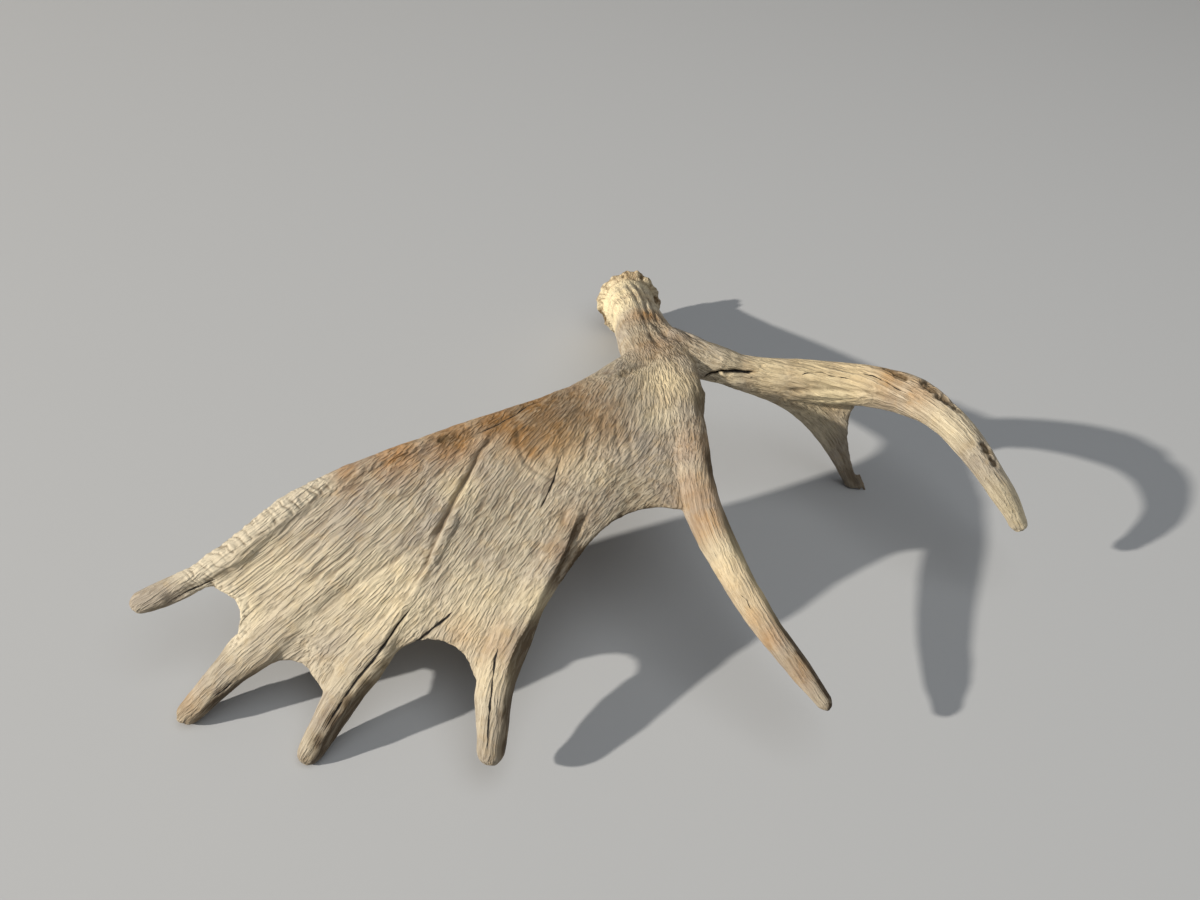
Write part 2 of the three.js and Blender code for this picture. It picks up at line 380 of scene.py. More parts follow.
# %% Noise
SEED_STEP = 17.3


def noise(points, size, seed):
    """Smooth noise from -1 to 1, 0 on average, whose lumps are about size across."""
    return np.array([mathutils.noise.noise(spot) for spot in (points / size + SEED_STEP * seed).tolist()])


def fade(value, near, far):
    """1 up to near, 0 from far on, and smooth between."""
    part = np.clip((value - near) / (far - near), 0, 1)
    return 1 - part * part * (3 - 2 * part)


def soft_spots(spots):
    """At each corner, the strongest of some spots, each with its place, radius in mm and strength."""
    total = np.zeros(len(skin))
    for place, radius, strength in spots:
        gap = np.linalg.norm(skin - grown([place])[0], axis=1)
        total = np.maximum(total, strength * np.exp(-(gap / (radius * MM)) ** 2))
    return total


# %% Distance to a drawn line
skin_tree = BVHTree.FromPolygons([Vector(p) for p in skin], [tuple(p.vertices) for p in mesh.polygons])


def on_skin(points):
    """The nearest places on the skin, and which way is out there."""
    hits = [skin_tree.find_nearest(Vector(point)) for point in points]
    return np.array([hit[0] for hit in hits]), np.array([hit[1] for hit in hits])


LINE_STEP = 2 * MM


def measure(places, reach):
    """The corners near a line: which, how far off, on which side (+ or -), how far along (0 to 1)."""
    line, out = on_skin(spaced(places, LINE_STEP))
    box = np.all((skin > line.min(axis=0) - reach) & (skin < line.max(axis=0) + reach), axis=1)
    near = np.flatnonzero(box)
    gaps = np.linalg.norm(skin[near][:, None, :] - line[None], axis=2)
    closest = gaps.argmin(axis=1)
    within = gaps[np.arange(len(near)), closest] < reach
    near, closest = near[within], closest[within]
    ahead = np.gradient(line, axis=0)[closest]
    ahead /= np.linalg.norm(ahead, axis=1)[:, None]
    side = np.cross(out[closest], ahead)
    side /= np.linalg.norm(side, axis=1)[:, None]
    offset = skin[near] - line[closest]
    beside = (offset * side).sum(axis=1)
    past = (offset * ahead).sum(axis=1)
    at_end = (closest == 0) | (closest == len(line) - 1)
    distance = np.where(at_end, np.hypot(beside, past), np.abs(beside))
    spacing = np.linalg.norm(np.diff(line, axis=0), axis=1).mean()
    return near, distance, np.where(beside < 0, -1, 1), (closest + past / spacing) / (len(line) - 1)


normals = outward()
height = np.zeros(len(skin))
print("tools ready on", len(skin), "corners")

# %% [markdown]
# Dried bone skin is wrinkled like bark: rounded ridges a few millimetres apart that run with the
# fibres, fork and join. The noise for them is read at the grain place. A little of the true place
# is mixed in, which ends each ridge after some centimetres, and a wobble, which makes it stray.
# The wrinkles are deepest over the palm and the fork, and nearly gone on the rubbed long point.

# %% Folds and wrinkles along the fibres
TRUE_SHARE = 0.015
WRINKLE = 3.2 * MM
wobble = np.stack([noise(skin, 18 * MM, seed) for seed in (31, 32, 33)], axis=1)
small_wobble = np.stack([noise(skin, 8 * MM, seed) for seed in (37, 38, 39)], axis=1)
unruly = 0.2 + soft_spots([((150, 475, 112), 60, 1.0), ((195, 405, 70), 40, 1.0)])
flow = grain + TRUE_SHARE * skin + MM * (0.9 * wobble + unruly[:, None] * small_wobble)
ripple = noise(flow, WRINKLE, seed=34)
LEAST_WRINKLED = 0.27
wrinkled = LEAST_WRINKLED + soft_spots([
    ((5, 605, 185), 48, 0.3), ((-60, 630, 191), 50, 0.3), ((40, 690, 190), 44, 0.25),
    ((96, 650, 176), 40, 0.25), ((-150, 560, 172), 80, 0.35), ((-240, 530, 150), 80, 0.3),
    ((-60, 530, 160), 60, 0.25), ((60, 790, 178), 34, 0.45), ((-180, 490, 125), 70, 0.2),
    ((80, 745, 180), 40, 0.4), ((20, 560, 160), 40, 0.35), ((150, 728, 168), 40, 0.3),
    ((230, 722, 155), 46, 0.35), ((310, 700, 160), 34, 0.25), ((370, 640, 152), 50, 0.2),
    ((30, 900, 130), 40, 0.25),
])
wrinkled -= soft_spots([((150, 475, 112), 60, 0.15), ((185, 420, 85), 40, 0.15)])
ripple += 0.35 * noise(flow, 2.3 * WRINKLE, seed=35)
FOLDS = [(grain, 0.8, 24, 41), (grain, 0.4, 11, 42), (skin, 0.35, 13, 43)]
for where, tall, size, seed in FOLDS:
    height += tall * MM * noise(where, size * MM, seed)
WRINKLE_HEIGHT = 1.1 * MM
height += WRINKLE_HEIGHT * wrinkled * ripple
print("folds and wrinkles rise", round(float(height.max() / MM), 2), "mm at most")

# %% Combed rows below the neck
ROW = 4.6 * MM
ROW_HEIGHT = 0.25 * MM
combed = soft_spots([((0, 605, 184), 44, 1.0), ((-55, 625, 190), 34, 0.6), ((60, 660, 184), 30, 0.5)])
swaying = flow[:, 0] + 2 * MM * noise(skin, 14 * MM, seed=36)
height += ROW_HEIGHT * combed * np.sin(2 * np.pi * swaying / ROW)
print("combed corners:", int((combed > 0.5).sum()))

# %% [markdown]
# Ribs run out to the points and vessels left grooves beside them. Each is one drawn line with a
# half width and a height; a groove's height is negative. Some ribs are steps: steep on the right
# of the way they are drawn and spread out on its left, as far as their last number says.

# %% Ribs and grooves
RELIEF = [
    # places, half width in mm, height in mm, and for a step how far it spreads on the left, in mm
    # the low step beside the groove of the third point, and that groove
    ([(-94, 608, 188), (-108, 595, 183), (-118, 574, 173), (-126, 553, 165), (-138, 529, 153),
      (-150, 506, 138), (-165, 482, 120), (-181, 465, 105), (-195, 447, 88)], 3, 1.9, 24),
    ([(-90, 622, 192), (-103, 608, 189), (-114, 592, 183), (-122, 572, 174), (-133, 553, 164),
      (-144, 535, 154), (-152, 516, 142), (-158, 500, 133), (-172, 481, 118)], 2.8, -4.2),
    # the branch of that groove to the second point
    ([(-150, 529, 151), (-168, 517, 141), (-186, 506, 133), (-204, 498, 126), (-222, 490, 119),
      (-240, 480, 108), (-256, 473, 99), (-266, 468, 94)], 4.5, -1.8),
    # groove under the crest
    ([(-55, 655, 195), (-71, 647, 195), (-81, 636, 194), (-98, 623, 192), (-121, 611, 189),
      (-146, 604, 188)], 4, -1.6),
    # vein that loops down to the fourth point's rib
    ([(-77, 632, 194), (-78, 614, 190), (-76, 599, 185), (-70, 584, 180), (-60, 576, 176), (-46, 570, 173),
      (-32, 566, 171), (-21, 559, 168), (-17, 552, 165)], 2, -0.9),
    ([(-81, 630, 194), (-82, 614, 190), (-80, 598, 185), (-74, 582, 180), (-64, 573, 176), (-48, 566, 172),
      (-34, 561, 170), (-24, 554, 167)], 2, 0.6),
    # rib and groove of the fourth point
    ([(-15, 553, 165), (-21, 536, 157), (-31, 514, 144), (-45, 488, 130), (-59, 464, 115), (-74, 442, 102),
      (-82, 424, 91), (-87, 406, 79)], 3, 1.9),
    ([(-8, 550, 165), (-15, 535, 155), (-22, 523, 149), (-31, 510, 140), (-40, 494, 131), (-49, 478, 122),
      (-62, 463, 114), (-74, 446, 104), (-82, 431, 95)], 3, -1.5),
    ([(-26, 556, 166), (-32, 540, 159), (-40, 522, 150), (-50, 504, 141)], 3, -1.2),
    # crests down the points, steep on the right
    ([(-88, 366, 48), (-84, 400, 72), (-78, 420, 86), (-71, 445, 103), (-57, 469, 117), (-45, 487, 129),
      (-29, 513, 142), (-18, 530, 152)], 5, 2.8, 13),
    ([(-258, 377, 20), (-237, 397, 43), (-216, 417, 64), (-193, 436, 78), (-180, 448, 88)], 5, 2.4, 12),
    ([(199, 405, 70), (184, 420, 84), (170, 435, 96), (157, 456, 107), (146, 476, 117), (132, 496, 131),
      (120, 513, 143), (112, 533, 153), (106, 560, 163), (101, 593, 173)], 4, 1.8, 12),
    ([(-376, 410, 18), (-358, 420, 32), (-335, 431, 50), (-312, 440, 62), (-288, 450, 68)], 5, 2.0, 10),
    # crest of the beam, steep on the left
    ([(14, 1000, 80), (16, 976, 91), (22, 881, 139), (26, 823, 165), (30, 790, 173), (36, 757, 180),
      (48, 735, 187)], 7, 2.8, 20),
    # valley to the second point, and the groove along the upper point
    ([(-180, 512, 133), (-209, 497, 125), (-231, 486, 115), (-254, 477, 104), (-272, 469, 97),
      (-290, 460, 88), (-306, 454, 80), (-327, 442, 66)], 8, -1.6),
    ([(-330, 502, 121), (-344, 499, 121), (-359, 495, 117), (-378, 489, 109), (-402, 483, 101)], 5, -2.2),
    # crease under the crest, and the band that sweeps round the front
    ([(18, 690, 192), (22, 693, 192), (32, 704, 191), (41, 715, 188), (51, 723, 187)], 5, -2.0),
    ([(54, 607, 177), (38, 590, 176), (25, 576, 172), (12, 560, 166)], 8, -1.8),
    # ripples between the beam and the fourth point
    ([(16, 640, 188), (15, 627, 187), (17, 605, 182), (21, 587, 177)], 2.2, -0.9),
    ([(4, 645, 190), (2, 629, 189), (0, 609, 185), (-4, 588, 179), (-9, 570, 173)], 2.2, -0.9),
    ([(27, 640, 187), (27, 622, 185), (30, 595, 178), (33, 576, 171)], 2.4, -0.8),
    ([(-8, 640, 190), (-10, 625, 189), (-13, 603, 183), (-17, 583, 177)], 2.2, -0.8),
    # furrows from the burr round to the brow branch
    ([(42, 1016, 84), (46, 980, 100), (50, 935, 125), (52, 880, 152), (52, 840, 166), (56, 801, 179),
      (64, 773, 186), (75, 751, 189), (93, 738, 186)], 3, -2.8),
    ([(34, 1010, 86), (38, 950, 120), (43, 890, 150), (46, 830, 171), (49, 802, 180), (54, 764, 187),
      (64, 741, 190), (75, 722, 188)], 2.6, -2.2),
    ([(54, 1010, 80), (56, 950, 112), (58, 900, 138), (59, 850, 160), (62, 796, 179), (71, 767, 187),
      (86, 753, 188), (102, 742, 186), (126, 738, 182)], 2.6, -2.4),
    ([(24, 1008, 82), (26, 960, 110), (30, 900, 140), (34, 850, 160)], 2.6, -1.6),
    ([(66, 1012, 70), (67, 950, 105), (67, 890, 138), (70, 830, 164), (78, 785, 180), (96, 762, 184),
      (130, 750, 179)], 3, -2.2),
    # ledge between the brow branch and the plate of the prong
    ([(190, 718, 150), (209, 719, 151), (243, 719, 153), (284, 712, 155), (311, 695, 156),
      (324, 683, 162)], 2.4, -1.6),
    ([(200, 718, 144), (222, 718, 145), (250, 717, 146), (284, 709, 149), (308, 693, 151)], 3, 1.4),
    ([(215, 718, 138), (240, 717, 138), (262, 714, 140)], 2.4, -1.0),
    # and one more furrow where the beam meets the palm
    ([(59, 774, 187), (57, 750, 189), (58, 738, 189), (56, 721, 188)], 5, -1.8),
]
WAVER = 0.35
for places, half, rise, *left_half in RELIEF:
    wide = left_half[0] if left_half else half
    near, distance, side, along = measure(places, 2.5 * wide * MM)
    half = np.where(side > 0, wide, half)
    ends = fade(np.abs(along - 0.5), 0.36, 0.5)
    wavering = 1 + WAVER * noise(skin[near], 12 * MM, seed=4) * fade(half, 4, 10)
    height[near] += rise * MM * np.exp(-(distance / (half * MM)) ** 2) * ends * wavering
print(len(RELIEF), "ribs and grooves")

# %% [markdown]
# Old bone splits along its fibres as it dries. A crack is drawn as a line, cut into the mesh as a
# narrow groove, and kept as numbers on each corner: how far it is from the crack, with a sign for
# the side, and how open the crack is there. The sign lets the material find the line itself
# between two corners, so the crack stays hair-thin.

# %% Cracks
CRACKS = [
    # places, half width in mm, depth in mm
    ([(-34, 598, 183), (-39, 583, 178), (-43, 568, 172), (-49, 555, 166), (-56, 541, 159)], 0.9, 1.2),
    ([(-165, 478, 114), (-169, 472, 109), (-182, 458, 99), (-193, 445, 88), (-203, 434, 79), (-215, 423, 70),
      (-226, 411, 60), (-237, 399, 47), (-249, 387, 32)], 1.5, 1.8),
    ([(-130, 468, 110), (-137, 463, 105), (-149, 457, 98), (-158, 452, 92), (-168, 446, 84)], 1.2, 1.3),
    ([(-88, 442, 101), (-92, 427, 92), (-94, 405, 80), (-96, 385, 65), (-97, 362, 47)], 1.0, 1.2),
    ([(-348, 494, 117), (-362, 491, 111), (-378, 487, 106), (-398, 480, 96)], 1.1, 1.2),
    ([(-333, 432, 52), (-345, 426, 44), (-353, 423, 39)], 0.7, 0.8),
    ([(106, 719, 158), (109, 722, 160), (113, 727, 164), (117, 728, 167), (121, 724, 169), (127, 726, 171),
      (133, 724, 171), (142, 728, 170), (153, 726, 169), (162, 728, 169), (172, 727, 169)], 1.9, 4.5),
    ([(209, 727, 163), (218, 730, 165), (234, 732, 165), (243, 728, 163), (266, 724, 162)], 0.55, 0.7),
    ([(274, 729, 166), (287, 724, 166), (299, 715, 165), (310, 705, 164), (319, 696, 165)], 0.6, 0.8),
    ([(124, 478, 122), (131, 471, 119), (135, 464, 114)], 0.25, 0.3),
    ([(-55, 655, 195), (-71, 647, 195), (-81, 636, 194), (-98, 623, 192), (-121, 611, 189)], 0.7, 0.6),
]
CRACK_REACH = 7 * MM
CRACK_STRAY = 0.5 * MM
LEAST_GROOVE = 1.3
crack_side = np.full(len(skin), CRACK_REACH)
crack_open = np.zeros(len(skin))
for places, half, depth in CRACKS:
    near, distance, side, along = measure(places, CRACK_REACH)
    closer = distance < np.abs(crack_side[near])
    near, distance, side, along = near[closer], distance[closer], side[closer], along[closer]
    ends = fade(np.abs(along - 0.5), 0.3, 0.5)
    crack_side[near] = distance * side + CRACK_STRAY * noise(skin[near], 7 * MM, seed=52)
    ragged = np.clip(0.85 + 1.3 * noise(skin[near], 8 * MM, seed=51), 0.1, 1.5)
    crack_open[near] = half * ends * ragged * fade(distance, 0.6 * CRACK_REACH, CRACK_REACH)
    height[near] -= depth * MM * ends * np.exp(-(distance / (max(half, LEAST_GROOVE) * MM)) ** 2)
print(len(CRACKS), "cracks")

# %% [markdown]
# Mice and squirrels gnaw shed antlers for their minerals. Their teeth planed a rough band off the
# palm's long edge, in short slanting marks, crumbled one crotch, and bit pieces out of the tine's
# outer edge, where damp has since turned the wounds dark.

# %% Gnawed band and crotch
gnawed = np.zeros(len(skin))
bite_darkening = np.zeros(len(skin))

EDGE_GNAWED = [
    (-240, 576, 178), (-258, 566, 174), (-293, 549, 162), (-332, 532, 141), (-361, 513, 127), (-395, 497, 112),
]
EDGE_REACH = 28 * MM
BAND_HALF = (11 * MM, 13 * MM)
MARK = 3.3 * MM
SLANT = 0.45
STROKE_CHANGE = 0.16
strokes = np.zeros(len(skin))
near, distance, side, along = measure(EDGE_GNAWED, EDGE_REACH)
length = np.linalg.norm(grown([EDGE_GNAWED[0]])[0] - grown([EDGE_GNAWED[-1]])[0])
wander = noise(skin[near], 16 * MM, seed=8) + 0.5 * noise(skin[near], 7 * MM, seed=12)
across = distance * side
edge_gap = np.where(across > 0, (0.95 - 0.35 * along) * across, -across) + 3 * MM * wander
band = fade(edge_gap, *BAND_HALF) * fade(np.abs(along - 0.5), 0.38, 0.52)
shifted = along * length + SLANT * across + 3 * MM * noise(skin[near], 9 * MM, seed=17)
slanting = np.stack([shifted, STROKE_CHANGE * across, 0 * across], axis=1)
marks = noise(slanting, MARK, seed=9) + 0.7 * noise(slanting, 0.6 * MARK, seed=16)
gnawed[near] = np.maximum(gnawed[near], band)
strokes[near] = band * marks
height[near] -= band * MM * (0.9 - 0.75 * marks + 0.8 * noise(skin[near], 8 * MM, seed=13))

CROTCH_GNAWED = [(-345, 492, 108), (-332, 486, 103), (-327, 480, 98), (-329, 470, 87), (-334, 463, 75)]
CROTCH_REACH = 20 * MM
CROTCH_HALF = (5 * MM, 13 * MM)
near, distance, side, along = measure(CROTCH_GNAWED, CROTCH_REACH)
band = fade(distance + 3 * MM * noise(skin[near], 9 * MM, seed=14), *CROTCH_HALF)
gnawed[near] = np.maximum(gnawed[near], band)
height[near] -= band * MM * (0.4 + 2.2 * np.abs(noise(skin[near], 5 * MM, seed=10)))
print("gnawed corners:", int((gnawed > 0.5).sum()))

# %% Bites
BITES = [
    # place, half length, half width, depth, how dark; all but the last in mm
    ((314, 719, 170), 10, 6, 1.8, 1.0), ((306, 732, 170), 12, 7, 1.4, 0.6), ((340, 696, 172), 11, 6, 2.6, 1.0),
    ((337, 706, 170), 8, 9, 3.4, 0.8), ((349, 683, 171), 13, 7, 2.6, 0.9), ((354, 681, 170), 12, 8, 2.8, 0.8),
    ((357, 671, 168), 9, 5, 1.6, 0.8), ((382, 631, 152), 11, 6, 2.8, 1.0), ((390, 619, 144), 8, 5, 2.4, 0.8),
    ((0, 1003, 34), 14, 12, 2.6, 1.0), ((-147, 605, 190), 7, 4, 1.2, 1.0), ((76, 1016, 54), 9, 6, 1.6, 1.0),
    ((68, 1015, 71), 6, 5, 1.4, 1.0), ((31, 1028, 84), 8, 3, 1.4, 0.8), ((47, 1018, 87), 9, 3, 1.4, 0.8),
    ((57, 1030, 82), 8, 4, 1.4, 0.9),
]
for place, half_length, half_width, depth, dark in BITES:
    offset = skin - grown([place])[0]
    inside = np.flatnonzero(np.abs(offset).max(axis=1) < 1.6 * half_length * MM)
    offset = offset[inside]
    lengthwise = (offset * ways[inside]).sum(axis=1)
    crosswise = np.sqrt(np.maximum((offset ** 2).sum(axis=1) - lengthwise ** 2, 0))
    gap = np.hypot(lengthwise / (half_length * MM), crosswise / (half_width * MM))
    bite = fade(gap + 0.35 * noise(skin[inside], 5 * MM, seed=11), 0.55, 1.1)
    height[inside] -= depth * MM * bite * (1 + 0.4 * noise(skin[inside], 3.5 * MM, seed=15))
    bite_darkening[inside] = np.maximum(bite_darkening[inside], dark * bite)
print("bitten corners:", int((bite_darkening > 0.5).sum()))

# %% [markdown]
# The burr is a crown of bony lumps with brown crevices between them, around the rough face that
# the antler was shed from. Voronoi cells pack like such lumps: each corner belongs to the nearest
# of some scattered middles, and where the two nearest are equally far there is a crevice. The
# cells are drawn out along the beam. The broken tine tip and the blunt ends are rough as well.

# %% Lumps of the burr
BURR_PLACE = grown([(39, 1020, 46)])[0]
BURR_WAY = np.array((LIE.to_3x3() @ Vector((-0.08, 0.88, -0.46))).normalized())
LUMP = 10.5 * MM
LUMP_SHARPNESS = 1.7
DRAWN_OUT = 0.6
from_burr = skin - BURR_PLACE
along_beam = from_burr @ BURR_WAY
off_axis = np.linalg.norm(from_burr - along_beam[:, None] * BURR_WAY, axis=1)
rim = fade(np.abs(along_beam + 6 * MM), 8 * MM, 26 * MM) * (1 - fade(off_axis, 24 * MM, 38 * MM))
drawn_out = (skin - DRAWN_OUT * along_beam[:, None] * BURR_WAY + 6 * MM * wobble) / LUMP
lump = np.zeros(len(skin))
for corner in np.flatnonzero(rim > 0.01):
    nearest = mathutils.noise.voronoi(drawn_out[corner].tolist())[0]
    lump[corner] = min(1, LUMP_SHARPNESS * (nearest[1] - nearest[0]))
uneven_rim = 0.6 + 0.9 * noise(skin, 20 * MM, seed=24)
height += rim * uneven_rim * MM * (2.0 * np.sqrt(lump) - 1.0) + rim * MM * 0.9 * noise(skin, 5 * MM, seed=23)
face = 1 - fade(along_beam, 1 * MM, 6 * MM)
height += face * MM * 0.9 * noise(skin, 5 * MM, seed=21)
crevice = np.maximum(0.7 * rim ** 2 * (1 - np.clip(lump * 2.4, 0, 1)), 0.5 * face)
print("lumpy corners:", int((rim > 0.5).sum()))

# %% Rough ends
ENDS = [
    # place, radius in mm, how rough
    ((432, 596, 69), 20, 1.0), ((-390, 416, 8), 16, 1.0), ((-434, 487, 89), 14, 0.7), ((298, 722, 2), 14, 0.7),
    ((-96, 360, 32), 12, 0.6), ((202, 398, 60), 10, 0.5), ((-268, 376, 8), 12, 0.5),
]
rough = np.zeros(len(skin))
for place, radius, amount in ENDS:
    gap = np.linalg.norm(skin - grown([place])[0], axis=1)
    rough = np.maximum(rough, amount * fade(gap, 0.4 * radius * MM, radius * MM))
height += rough * MM * 1.3 * noise(skin, 5 * MM, seed=22)
print("rough corners:", int((rough > 0.3).sum()))

# %% Move the corners
skin_moved = skin + normals * height[:, None]
FLOOR_LEVEL = 0.0
HOLLOW_ROUNDS = 5
skin_moved[:, 2] = np.maximum(skin_moved[:, 2], FLOOR_LEVEL)
place_corners(skin_moved)
around = height
for _ in range(HOLLOW_ROUNDS):
    around = neighbours(around)
hollow = height - around
print("moved by", (height.min() / MM).round(2), "to", (height.max() / MM).round(2), "mm")

# %% [markdown]
# ## Stains and painted shade
# Leaf litter stained the palm orange and brown under the crest, and the beams took warmer
# blotches. Each stain is a soft spot: a place, a radius, and how strong it is. The flanks of the
# points that face away from the key light are painted dark brown, as shade.


# %% Stains and painted shade on the corners
orange = soft_spots([
    ((-74, 608, 189), 22, 1.0), ((-62, 596, 185), 14, 0.9), ((-45, 612, 188), 34, 0.85),
    ((-10, 632, 188), 34, 0.6), ((-95, 628, 192), 30, 0.9), ((-140, 608, 188), 30, 0.85),
    ((-60, 645, 192), 34, 0.8), ((-20, 664, 191), 30, 0.5), ((-190, 592, 184), 26, 0.8),
    ((-235, 574, 177), 20, 0.6), ((90, 560, 167), 28, 0.4), ((98, 530, 153), 22, 0.55),
    ((137, 461, 112), 14, 0.6), ((150, 446, 102), 14, 0.6), ((120, 490, 130), 26, 0.35),
    ((180, 733, 170), 34, 0.5), ((225, 735, 168), 34, 0.75), ((265, 730, 167), 34, 0.75),
    ((300, 722, 167), 26, 0.7), ((330, 695, 168), 22, 0.5), ((50, 930, 125), 24, 0.45),
    ((34, 905, 132), 22, 0.45), ((-28, 535, 158), 16, 0.3), ((-36, 508, 144), 14, 0.3),
    ((-380, 424, 25), 20, 0.35), ((96, 610, 174), 30, 0.35), ((255, 718, 120), 14, 0.8),
    ((-92, 440, 100), 20, 0.35), ((-120, 452, 100), 18, 0.4), ((38, 1028, 80), 22, 0.6),
    ((48, 900, 132), 26, 0.4), ((52, 815, 174), 20, 0.8), ((30, 940, 116), 12, 0.5), ((67, 690, 188), 30, 0.35),
    ((150, 470, 117), 40, 0.4), ((180, 425, 88), 20, 0.4), ((60, 745, 187), 30, 0.35),
])
brown = soft_spots([
    ((-60, 630, 190), 40, 0.75), ((-30, 640, 190), 40, 0.9), ((0, 630, 188), 30, 0.7),
    ((30, 690, 190), 36, 0.4), ((56, 745, 186), 24, 0.5), ((20, 660, 189), 34, 0.5), ((60, 790, 178), 24, 0.5),
    ((105, 700, 172), 30, 0.45), ((104, 640, 170), 22, 0.45), ((-98, 622, 192), 16, 0.7),
    ((-140, 604, 188), 12, 0.8), ((30, 560, 160), 24, 0.6), ((0, 556, 166), 16, 0.5),
    ((-22, 520, 148), 16, 0.5), ((-385, 415, 20), 18, 0.55), ((-268, 376, 8), 16, 0.4),
    ((296, 722, 14), 26, 0.85), ((270, 728, 60), 30, 0.3), ((44, 548, 155), 18, 0.75),
    ((20, 546, 154), 14, 0.6), ((-6, 541, 158), 12, 0.7), ((-28, 508, 138), 12, 0.7),
    ((-50, 476, 120), 12, 0.7), ((-72, 444, 98), 12, 0.6), ((-97, 362, 40), 20, 0.4), ((175, 428, 90), 20, 0.4),
    ((-84, 430, 80), 16, 0.5), ((196, 403, 66), 16, 0.4), ((88, 745, 182), 26, 0.5), ((-98, 545, 162), 34, 0.3),
    ((-210, 425, 62), 22, 0.35), ((-350, 440, 45), 24, 0.3), ((-400, 483, 95), 22, 0.3),
    # the dark sides of the points, painted shade over brown stain
    ((-248, 384, 27), 11, 1.5), ((-235, 396, 42), 11, 1.5), ((-222, 408, 54), 11, 1.4),
    ((-208, 420, 64), 10, 1.3), ((-193, 434, 74), 9, 1.1), ((-180, 446, 83), 9, 0.8), ((-80, 373, 42), 14, 1.6),
    ((-78, 391, 54), 14, 1.6), ((-73, 410, 70), 14, 1.6), ((-66, 430, 84), 13, 1.5), ((-55, 449, 97), 12, 1.3),
    ((-369, 414, 13), 11, 1.2), ((-346, 424, 37), 11, 1.1), ((-325, 433, 52), 11, 0.9),
    ((-307, 441, 63), 10, 0.7),
    # the throat of the fork, the neck and the burr; in the throat and under and beside the burr the dark is
    # painted shade over stain
    ((99, 696, 180), 14, 1.1), ((102, 670, 176), 12, 1.3), ((104, 650, 173), 11, 1.2),
    ((108, 690, 170), 14, 1.4), ((120, 715, 158), 10, 1.4), ((134, 720, 156), 9, 1.2),
    ((54, 892, 134), 20, 0.35), ((58, 808, 175), 18, 0.65), ((46, 762, 184), 18, 0.6),
    ((58, 772, 186), 14, 0.5), ((62, 746, 190), 14, 0.5), ((66, 722, 189), 14, 0.45), ((1, 1005, 40), 13, 1.3),
    ((20, 694, 193), 12, 0.5), ((33, 708, 190), 12, 0.6), ((47, 724, 187), 12, 0.6), ((75, 1015, 54), 14, 0.8),
    ((66, 1015, 70), 12, 0.8), ((62, 880, 140), 14, 0.6), ((66, 826, 168), 14, 0.6),
])
# pale spots: bleached bone in places, and painted highlight on the beam's lit side, the brow branch, the lit
# plate under it and the long point
pale = soft_spots([
    ((20, 985, 70), 48, 1.1), ((24, 930, 110), 40, 1.1), ((20, 870, 140), 38, 1.0), ((36, 1020, 60), 40, 0.6),
    ((-332, 478, 98), 30, 0.6), ((415, 600, 95), 44, 0.4), ((395, 615, 125), 34, 0.1),
    ((245, 716, 142), 34, 1.0), ((350, 650, 160), 30, 0.35), ((-300, 500, 118), 60, 0.3),
    ((-196, 470, 108), 50, 0.35), ((-110, 470, 112), 36, 0.3), ((118, 500, 135), 30, 0.45),
    ((-176, 490, 128), 22, 0.4), ((-131, 560, 168), 16, 0.35), ((-58, 470, 120), 16, 0.4),
    ((225, 735, 168), 34, 0.75), ((265, 730, 167), 30, 0.7), ((180, 733, 170), 28, 0.7),
    ((140, 730, 172), 24, 0.4), ((262, 716, 152), 26, 0.8), ((8, 990, 56), 26, 1.0), ((12, 940, 84), 24, 1.0),
    ((16, 860, 120), 24, 1.0), ((67, 690, 188), 30, 0.6), ((-20, 590, 180), 40, 0.15),
    ((60, 650, 182), 24, 0.3), ((140, 480, 120), 30, 0.35), ((-97, 418, 86), 20, 0.3),
])
# painted shade: where a corner's outward side turns away from the key light, the flanks of the points take the
# dark of these spots
SHADE_SIDE_EDGES = (-0.32, 0.02)
away_from_key = 1 - fade(outward() @ np.array(LIGHT_WAY), *SHADE_SIDE_EDGES)
painted_shade_flanks = soft_spots([
    ((-235, 395, 35), 62, 1.8), ((-75, 430, 85), 72, 1.8), ((-30, 510, 140), 45, 1.6),
    ((20, 550, 157), 45, 1.4), ((200, 405, 65), 50, 1.9), ((165, 450, 100), 45, 1.8),
    ((125, 515, 138), 45, 1.7), ((105, 590, 165), 36, 1.4), ((100, 680, 178), 40, 1.4),
    ((-345, 428, 45), 50, 1.5), ((-400, 483, 95), 30, 0.7), ((64, 1010, 70), 34, 1.0),
])
brown = np.maximum(brown, away_from_key * painted_shade_flanks)
print("stained corners:", int((orange > 0.3).sum()), int((brown > 0.3).sum()))


# %% [markdown]
# The material needs to know all this, so the numbers stay on the mesh as attributes of three
# numbers each. The grain is kept with its wobble, so that streaks of colour stray with the ridges.


# %% Keep the numbers on the mesh
def keep(name, *columns):
    layer = mesh.attributes.new(name, "FLOAT_VECTOR", "POINT")
    values = np.stack(columns, axis=1).astype(np.float32)
    layer.data.foreach_set("vector", values.ravel())


keep("grain", *flow.T)
keep("stain_shade_and_highlight", orange, brown, pale)
keep("crack", crack_side / MM, crack_open, np.clip(-hollow / MM, -1, 2))
keep("wear", gnawed, bite_darkening, crevice)
keep("wrinkle", ripple, wrinkled, strokes)
print("attributes:", [a.name for a in mesh.attributes if a.data_type == "FLOAT_VECTOR"])

# %% [markdown]
# The skin has nearly twice the triangles that the finished antler should have. Decimating it now,
# with the relief in place, takes them from where the bone is smooth and leaves them where it is
# wrinkled. The numbers on the corners are carried along.

